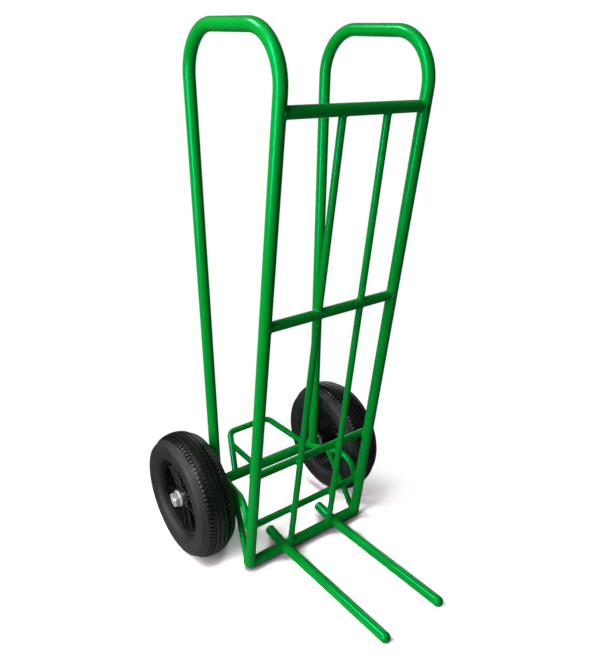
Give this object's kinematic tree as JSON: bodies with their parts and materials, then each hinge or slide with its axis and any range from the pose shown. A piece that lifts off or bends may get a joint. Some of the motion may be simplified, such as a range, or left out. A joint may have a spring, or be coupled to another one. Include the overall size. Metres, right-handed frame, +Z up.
{
  "type": "block trolley",
  "caption": "Hand trolley for stacked building blocks: bent tube side loops with crossbars, floor fork bars and broad wheels on a fixed axle.",
  "frame": {"origin": "on the floor, below the middle of the overall box", "axes": "+X to the operator's right seen from the fork side, +Y from the fork tips to the rear, +Z up"},
  "size_m": [0.694, 0.879, 1.519],
  "materials": {
    "green_paint": "glossy green paint on steel tube",
    "tyre_rubber": "matt black moulded rubber",
    "rim_plastic": "satin black moulded plastic",
    "bearing_steel": "ground steel",
    "zinc_steel": "bright zinc plate"
  },
  "bodies": {
    "frame": {"axle": "zinc_steel", "axle_nuts": "zinc_steel", "axle_tube": "green_paint", "foot_crossbar": "green_paint", "inner_washers": "zinc_steel", "left_curved_brace": "green_paint", "left_foot_strut": "green_paint", "left_fork_bar": "green_paint", "left_fork_stub": "green_paint", "left_lower_slat": "green_paint", "left_side_loop": "green_paint", "left_upper_slat": "green_paint", "low_rail": "green_paint", "middle_crossbar": "green_paint", "outer_spacers": "zinc_steel", "outer_washers": "zinc_steel", "rear_loop": "green_paint", "rear_loop_stay": "green_paint", "right_curved_brace": "green_paint", "right_foot_strut": "green_paint", "right_fork_bar": "green_paint", "right_fork_stub": "green_paint", "right_lower_slat": "green_paint", "right_side_loop": "green_paint", "right_upper_slat": "green_paint", "toe_rail": "green_paint", "top_crossbar": "green_paint"},
    "left_wheel": {"left_tyre": "tyre_rubber", "left_rim": "rim_plastic", "left_bearings": "bearing_steel"},
    "right_wheel": {"right_tyre": "tyre_rubber", "right_rim": "rim_plastic", "right_bearings": "bearing_steel"}
  },
  "joints": [
    {"name": "left_wheel_spin", "type": "hinge", "parent": "frame", "child": "left_wheel", "pos_m": [-0.285, 0.2415, 0.198], "axis": [1, 0, 0], "continuous": true},
    {"name": "right_wheel_spin", "type": "hinge", "parent": "frame", "child": "right_wheel", "pos_m": [0.285, 0.2415, 0.198], "axis": [1, 0, 0], "continuous": true}
  ]
}
